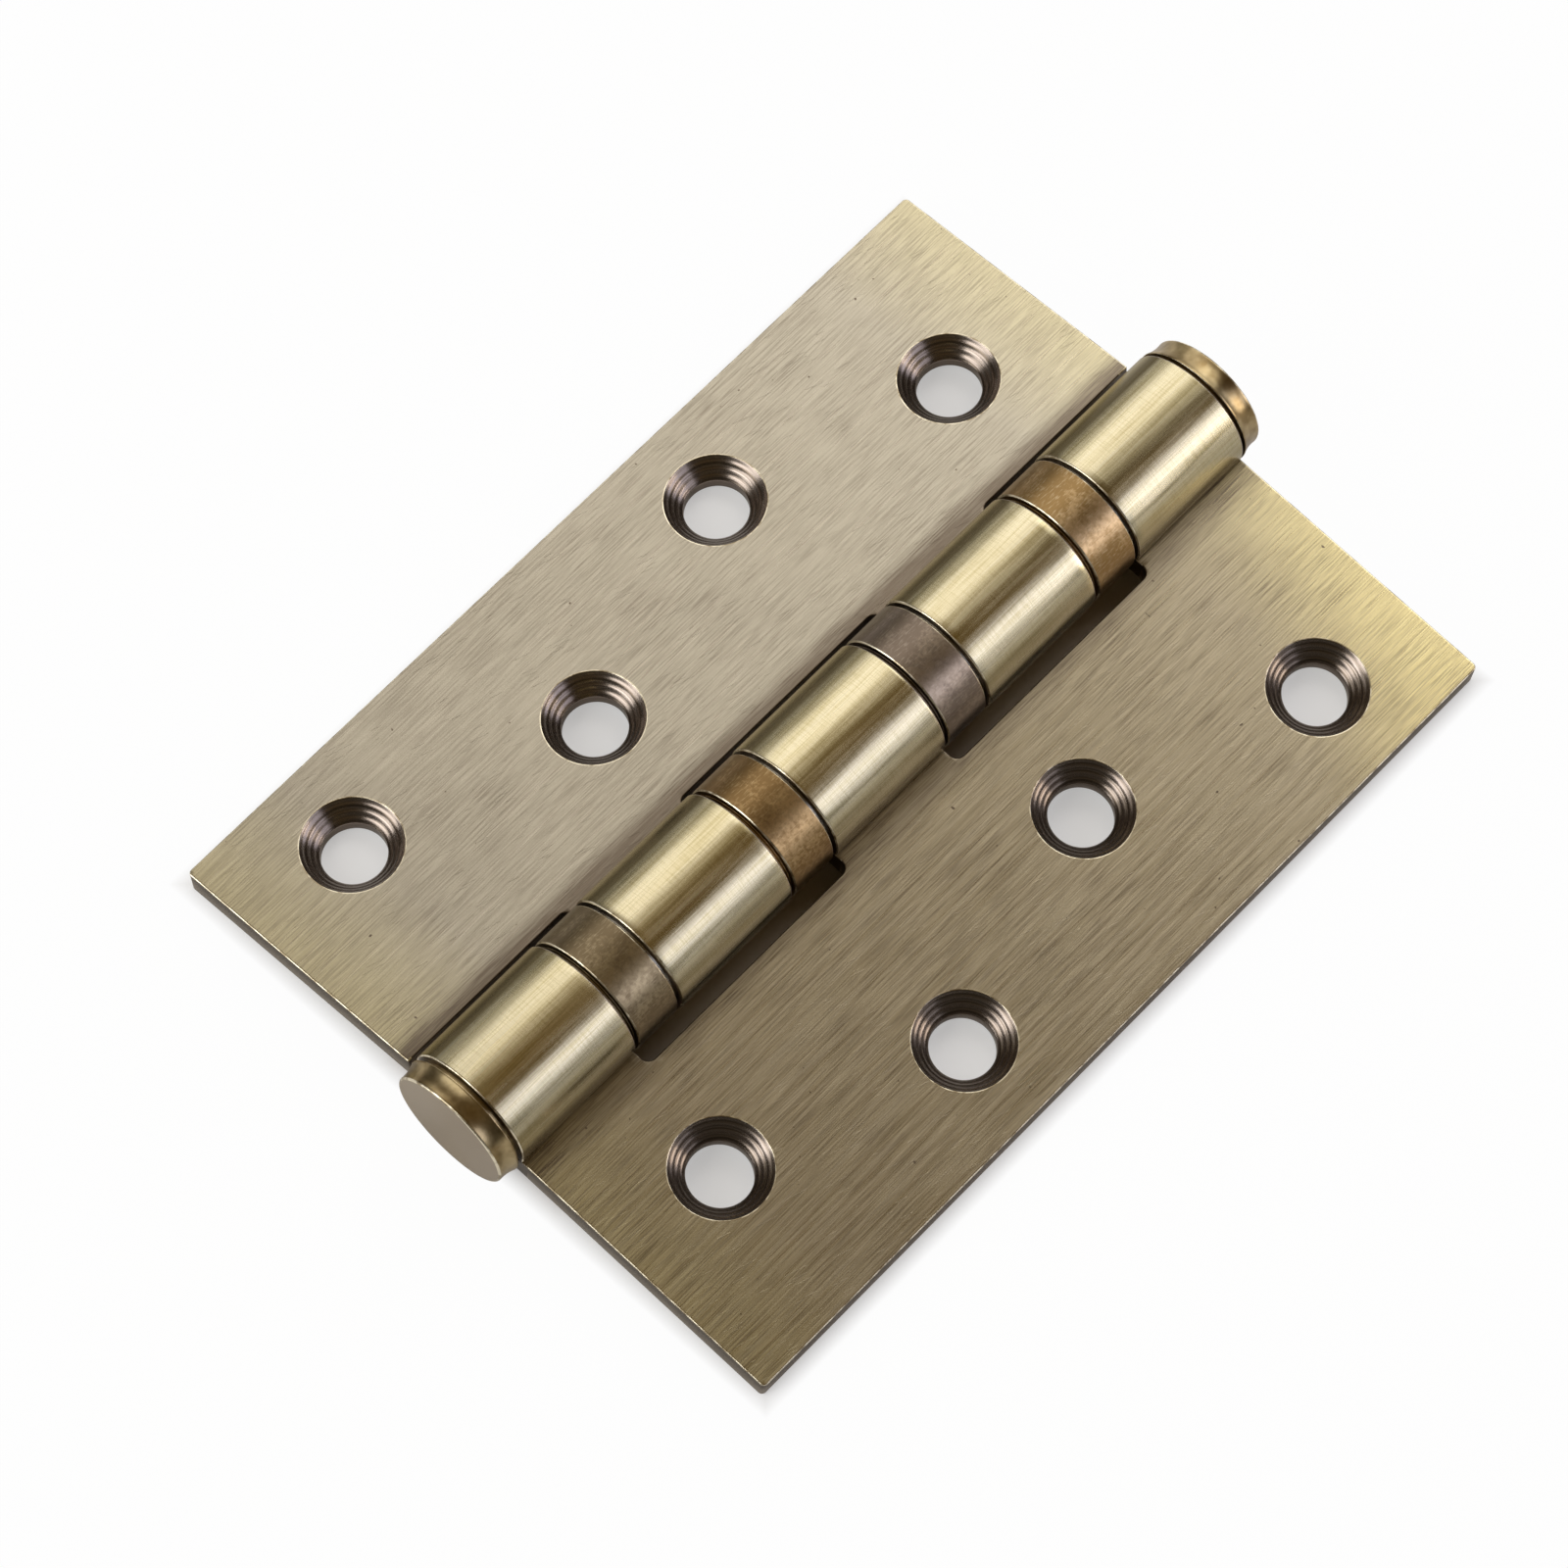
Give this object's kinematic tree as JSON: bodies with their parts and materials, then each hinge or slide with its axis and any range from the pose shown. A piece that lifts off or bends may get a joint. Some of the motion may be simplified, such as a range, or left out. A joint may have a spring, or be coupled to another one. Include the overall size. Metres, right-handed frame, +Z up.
{
  "type": "ball bearing butt hinge",
  "caption": "Butt hinge lying open: two countersunk plates with rolled knuckles on a pin with button ends, thrust ball bearings between the knuckles, brushed antique brass finish.",
  "frame": {"origin": "on the surface the open hinge lies on, under the middle of the barrel", "axes": "+Y along the barrel towards the pin's integral button, +X towards the leaf with three knuckles, +Z up, out of the countersunk faces"},
  "size_m": [0.0758, 0.1072, 0.014],
  "materials": {
    "leaf_finish": "brushed, antique brass plated",
    "tip_finish": "turned, antique brass plated",
    "sleeve_grey_brown": "satin, bronzed grey-brown",
    "sleeve_copper_brown": "satin, bronzed copper-brown",
    "race_steel": "ground, bronzed",
    "ball_steel": "polished",
    "cage_nylon": "moulded"
  },
  "bodies": {
    "three_knuckle_side": {"leaf_three_knuckle": "leaf_finish", "hinge_pin": "tip_finish", "tip_plug": "tip_finish", "bearing_lower_race_1": "race_steel", "bearing_upper_race_2": "race_steel", "bearing_sleeve_2": "sleeve_copper_brown", "bearing_lower_race_3": "race_steel", "bearing_upper_race_4": "race_steel", "bearing_sleeve_4": "sleeve_copper_brown"},
    "two_knuckle_side": {"leaf_two_knuckle": "leaf_finish", "bearing_upper_race_1": "race_steel", "bearing_sleeve_1": "sleeve_grey_brown", "bearing_lower_race_2": "race_steel", "bearing_upper_race_3": "race_steel", "bearing_sleeve_3": "sleeve_grey_brown", "bearing_lower_race_4": "race_steel"},
    "ball_set_1": {"bearing_cage_1": "cage_nylon", "bearing_balls_1": "ball_steel"},
    "ball_set_2": {"bearing_cage_2": "cage_nylon", "bearing_balls_2": "ball_steel"},
    "ball_set_3": {"bearing_cage_3": "cage_nylon", "bearing_balls_3": "ball_steel"},
    "ball_set_4": {"bearing_cage_4": "cage_nylon", "bearing_balls_4": "ball_steel"}
  },
  "joints": [
    {"name": "leaf_swing", "type": "hinge", "parent": "three_knuckle_side", "child": "two_knuckle_side", "pos_m": [0, 0, 0.007], "axis": [0, 1, 0], "range_deg": [-110.93, 189.07]},
    {"name": "ball_set_1_turn", "type": "hinge", "parent": "three_knuckle_side", "child": "ball_set_1", "pos_m": [0, 0, 0.007], "axis": [0, 1, 0], "range_deg": [-55.47, 94.55]},
    {"name": "ball_set_2_turn", "type": "hinge", "parent": "three_knuckle_side", "child": "ball_set_2", "pos_m": [0, 0, 0.007], "axis": [0, 1, 0], "range_deg": [-55.47, 94.55]},
    {"name": "ball_set_3_turn", "type": "hinge", "parent": "three_knuckle_side", "child": "ball_set_3", "pos_m": [0, 0, 0.007], "axis": [0, 1, 0], "range_deg": [-55.47, 94.55]},
    {"name": "ball_set_4_turn", "type": "hinge", "parent": "three_knuckle_side", "child": "ball_set_4", "pos_m": [0, 0, 0.007], "axis": [0, 1, 0], "range_deg": [-55.47, 94.55]}
  ],
  "couplings": [
    {"joint": "ball_set_1_turn", "follows": "leaf_swing", "ratio": 0.5},
    {"joint": "ball_set_2_turn", "follows": "leaf_swing", "ratio": 0.5},
    {"joint": "ball_set_3_turn", "follows": "leaf_swing", "ratio": 0.5},
    {"joint": "ball_set_4_turn", "follows": "leaf_swing", "ratio": 0.5}
  ]
}
